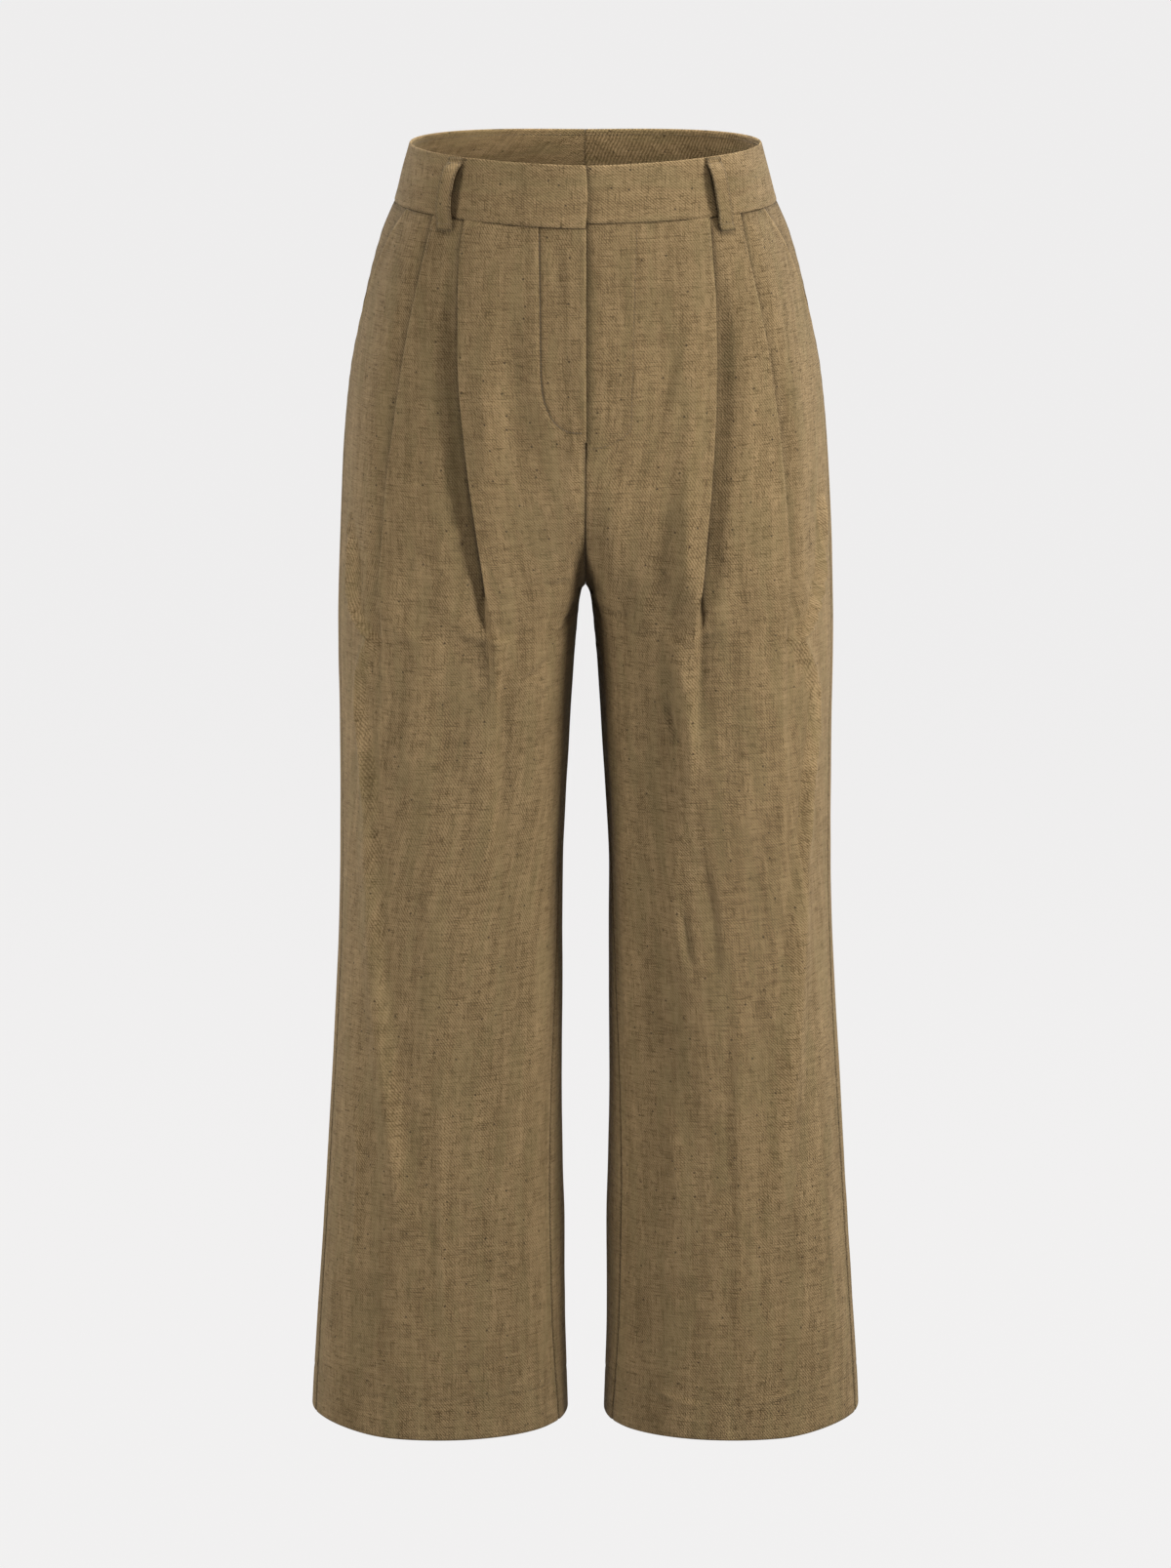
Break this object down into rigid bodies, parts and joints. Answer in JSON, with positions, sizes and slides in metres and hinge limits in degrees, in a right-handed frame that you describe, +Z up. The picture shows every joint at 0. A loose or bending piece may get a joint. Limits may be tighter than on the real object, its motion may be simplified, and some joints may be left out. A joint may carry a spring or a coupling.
{
  "type": "pleated wide-leg trousers",
  "caption": "High-rise pleated wide-leg trousers in their worn, hollow shape, with waistband, belt loops, fly and slanted pockets.",
  "frame": {"origin": "middle of the waistband ring at half the band's height, where the wearer's waist holds the trousers", "axes": "+Z up out of the waist opening, -Y to the front, +X to the wearer's left"},
  "size_m": [0.4234, 0.2747, 0.9924],
  "materials": {
    "cloth": "matte slubbed twill of a linen blend, olive brown",
    "thread": "matte sewing thread, a little darker than the cloth"
  },
  "bodies": {
    "root": {"front_left": "cloth", "front_right": "cloth", "back_left": "cloth", "back_right": "cloth", "waistband_left": "cloth", "waistband_right": "cloth", "fly_shield": "cloth", "pocket_facing_left": "cloth", "pocket_facing_right": "cloth", "belt_loop_front_left": "cloth", "belt_loop_front_right": "cloth", "belt_loop_back_left": "cloth", "belt_loop_back_right": "cloth", "belt_loop_back_centre": "cloth"}
  },
  "joints": []
}
